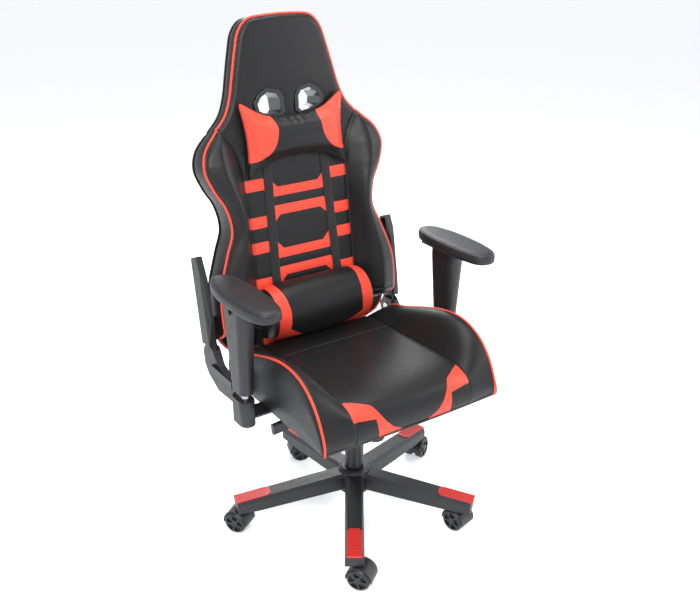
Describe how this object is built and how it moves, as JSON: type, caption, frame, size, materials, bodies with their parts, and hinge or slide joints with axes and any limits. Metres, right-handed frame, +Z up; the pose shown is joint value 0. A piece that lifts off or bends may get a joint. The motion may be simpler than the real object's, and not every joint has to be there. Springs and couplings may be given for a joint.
{
  "type": "gaming chair",
  "caption": "Racing-style gaming chair with bucket seat, reclining winged back, head and lumbar pillows, height-adjustable arms, gas lift and star base on casters.",
  "frame": {"origin": "on the floor under the gas lift's axis", "axes": "+Z up, the chair faces -Y, +X is the sitter's left"},
  "size_m": [0.718, 0.6996, 1.2832],
  "materials": {
    "pu_black": "satin",
    "pu_red": "satin",
    "nylon_black": "matte",
    "arm_pad_black": "satin",
    "bezel_black": "gloss",
    "red_cap": "satin",
    "steel_black": "satin",
    "bright_steel": "polished",
    "zinc": "satin",
    "webbing": "woven",
    "board": "matte"
  },
  "bodies": {
    "base": {"star_base": "nylon_black", "base_caps": "red_cap", "gas_column": "steel_black", "column_bush": "nylon_black"},
    "caster_1": {"caster_fork_1": "nylon_black"},
    "caster_2": {"caster_fork_2": "nylon_black"},
    "caster_3": {"caster_fork_3": "nylon_black"},
    "caster_4": {"caster_fork_4": "nylon_black"},
    "caster_5": {"caster_fork_5": "nylon_black"},
    "wheel_1_left": {"wheel_1_left": "nylon_black"},
    "wheel_1_right": {"wheel_1_right": "nylon_black"},
    "wheel_2_left": {"wheel_2_left": "nylon_black"},
    "wheel_2_right": {"wheel_2_right": "nylon_black"},
    "wheel_3_left": {"wheel_3_left": "nylon_black"},
    "wheel_3_right": {"wheel_3_right": "nylon_black"},
    "wheel_4_left": {"wheel_4_left": "nylon_black"},
    "wheel_4_right": {"wheel_4_right": "nylon_black"},
    "wheel_5_left": {"wheel_5_left": "nylon_black"},
    "wheel_5_right": {"wheel_5_right": "nylon_black"},
    "piston": {"piston_rod": "bright_steel"},
    "lift": {"gas_cylinder": "bright_steel", "mechanism_housing": "steel_black", "tilt_spring": "zinc"},
    "valve": {"valve_pin": "zinc"},
    "lever_slider": {"lever_carrier": "zinc"},
    "lift_lever": {"lift_lever_rod": "steel_black", "lift_lever_grip": "nylon_black"},
    "seat": {"seat_plate": "steel_black", "tilt_pin": "zinc", "seat_board": "board", "seat_cushion": "pu_black", "seat_bolster_left": "pu_black", "seat_bolster_right": "pu_black", "arm_brackets": "steel_black", "arm_stems": "bright_steel", "arm_cups": "nylon_black", "recliner_plates": "steel_black", "hinge_foot_covers": "nylon_black", "seat_bolts": "zinc", "pivot_bolts": "zinc"},
    "knob": {"tension_knob": "nylon_black"},
    "arm_left": {"arm_sleeve_left": "nylon_black", "arm_pad_left": "arm_pad_black"},
    "arm_right": {"arm_sleeve_right": "nylon_black", "arm_pad_right": "arm_pad_black"},
    "button_left": {"arm_button_left": "nylon_black"},
    "button_right": {"arm_button_right": "nylon_black"},
    "backrest": {"back_frame": "steel_black", "back_cushion": "pu_black", "back_bolster_left": "pu_black", "back_bolster_right": "pu_black", "back_rear_cover": "pu_black", "belt_bezels": "bezel_black", "back_hinge_plates": "steel_black", "hinge_cover_left": "nylon_black", "hinge_cover_right": "nylon_black", "lumbar_straps": "webbing"},
    "recline_handle": {"recline_lever": "steel_black"},
    "head_rest": {"head_pillow": "pu_black"},
    "lumbar_rest": {"lumbar_pillow": "pu_black"}
  },
  "joints": [
    {"name": "caster_1_swivel", "type": "hinge", "parent": "base", "child": "caster_1", "pos_m": [-0.17055, -0.25286, 0.08], "axis": [0, 0, 1], "continuous": true},
    {"name": "wheel_1_left_spin", "type": "hinge", "parent": "caster_1", "child": "wheel_1_left", "pos_m": [-0.15997, -0.26742, 0.03], "axis": [0.809, 0.5878, 0], "continuous": true},
    {"name": "wheel_1_right_spin", "type": "hinge", "parent": "caster_1", "child": "wheel_1_right", "pos_m": [-0.15997, -0.26742, 0.03], "axis": [0.809, 0.5878, 0], "continuous": true},
    {"name": "caster_2_swivel", "type": "hinge", "parent": "base", "child": "caster_2", "pos_m": [0.18778, -0.24034, 0.08], "axis": [0, 0, 1], "continuous": true},
    {"name": "wheel_2_left_spin", "type": "hinge", "parent": "caster_2", "child": "wheel_2_left", "pos_m": [0.18373, -0.22281, 0.03], "axis": [-0.9744, -0.225, 0], "continuous": true},
    {"name": "wheel_2_right_spin", "type": "hinge", "parent": "caster_2", "child": "wheel_2_right", "pos_m": [0.18373, -0.22281, 0.03], "axis": [-0.9744, -0.225, 0], "continuous": true},
    {"name": "caster_3_swivel", "type": "hinge", "parent": "base", "child": "caster_3", "pos_m": [0.28661, 0.10432, 0.08], "axis": [0, 0, 1], "continuous": true},
    {"name": "wheel_3_left_spin", "type": "hinge", "parent": "caster_3", "child": "wheel_3_left", "pos_m": [0.30219, 0.11332, 0.03], "axis": [-0.5, 0.866, 0], "continuous": true},
    {"name": "wheel_3_right_spin", "type": "hinge", "parent": "caster_3", "child": "wheel_3_right", "pos_m": [0.30219, 0.11332, 0.03], "axis": [-0.5, 0.866, 0], "continuous": true},
    {"name": "caster_4_swivel", "type": "hinge", "parent": "base", "child": "caster_4", "pos_m": [-0.01064, 0.30481, 0.08], "axis": [0, 0, 1], "continuous": true},
    {"name": "wheel_4_left_spin", "type": "hinge", "parent": "caster_4", "child": "wheel_4_left", "pos_m": [0.00647, 0.29925, 0.03], "axis": [0.309, 0.9511, 0], "continuous": true},
    {"name": "wheel_4_right_spin", "type": "hinge", "parent": "caster_4", "child": "wheel_4_right", "pos_m": [0.00647, 0.29925, 0.03], "axis": [0.309, 0.9511, 0], "continuous": true},
    {"name": "caster_5_swivel", "type": "hinge", "parent": "base", "child": "caster_5", "pos_m": [-0.29318, 0.08407, 0.08], "axis": [0, 0, 1], "continuous": true},
    {"name": "wheel_5_left_spin", "type": "hinge", "parent": "caster_5", "child": "wheel_5_left", "pos_m": [-0.30325, 0.09899, 0.03], "axis": [-0.829, -0.5592, 0], "continuous": true},
    {"name": "wheel_5_right_spin", "type": "hinge", "parent": "caster_5", "child": "wheel_5_right", "pos_m": [-0.30325, 0.09899, 0.03], "axis": [-0.829, -0.5592, 0], "continuous": true},
    {"name": "seat_swivel", "type": "hinge", "parent": "base", "child": "piston", "pos_m": [0, 0, 0.08], "axis": [0, 0, 1], "continuous": true},
    {"name": "seat_lift", "type": "slide", "parent": "piston", "child": "lift", "axis": [0, 0, 1], "range_m": [0, 0.08]},
    {"name": "lever_pull", "type": "slide", "parent": "lift", "child": "lever_slider", "axis": [-1, 0, 0], "range_m": [0, 0.015]},
    {"name": "lever_lift", "type": "hinge", "parent": "lever_slider", "child": "lift_lever", "pos_m": [-0.027, 0, 0.35], "axis": [0, 1, 0], "range_deg": [0, 6], "stiffness_Nm_per_rad": 1.2, "springref_deg": -20.05},
    {"name": "valve_press", "type": "slide", "parent": "lift", "child": "valve", "axis": [0, 0, -1], "range_m": [0, 0.0039]},
    {"name": "seat_tilt", "type": "hinge", "parent": "lift", "child": "seat", "pos_m": [0, -0.055, 0.375], "axis": [-1, 0, 0], "range_deg": [0, 12], "stiffness_Nm_per_rad": 140, "springref_deg": -20.05, "deforming": ["tilt_spring"]},
    {"name": "tension_turn", "type": "hinge", "parent": "seat", "child": "knob", "pos_m": [0, -0.095, 0.29], "axis": [0, 0, 1], "continuous": true},
    {"name": "arm_left_height", "type": "slide", "parent": "seat", "child": "arm_left", "axis": [0, 0, 1], "range_m": [-0.015, 0.055]},
    {"name": "button_left_press", "type": "slide", "parent": "arm_left", "child": "button_left", "axis": [-1, 0, 0], "range_m": [0, 0.004], "stiffness_N_per_m": 600, "springref_m": -0.002},
    {"name": "arm_right_height", "type": "slide", "parent": "seat", "child": "arm_right", "axis": [0, 0, 1], "range_m": [-0.015, 0.055]},
    {"name": "button_right_press", "type": "slide", "parent": "arm_right", "child": "button_right", "axis": [1, 0, 0], "range_m": [0, 0.004], "stiffness_N_per_m": 600, "springref_m": -0.002},
    {"name": "back_recline", "type": "hinge", "parent": "seat", "child": "backrest", "pos_m": [0, 0.235, 0.455], "axis": [-1, 0, 0], "range_deg": [0, 65]},
    {"name": "recline_handle_lift", "type": "hinge", "parent": "seat", "child": "recline_handle", "pos_m": [-0.302, 0.205, 0.433], "axis": [-1, 0, 0], "range_deg": [0, 20], "stiffness_Nm_per_rad": 1.5, "springref_deg": -17.19},
    {"name": "head_pillow_height", "type": "slide", "parent": "backrest", "child": "head_rest", "axis": [0, 0.1564, 0.9877], "range_m": [-0.03, 0.03]},
    {"name": "lumbar_pillow_height", "type": "slide", "parent": "backrest", "child": "lumbar_rest", "axis": [0, 0.1564, 0.9877], "range_m": [0, 0.1]}
  ],
  "couplings": [
    {"joint": "valve_press", "follows": "lever_lift", "m_per_rad": 0.037242}
  ]
}
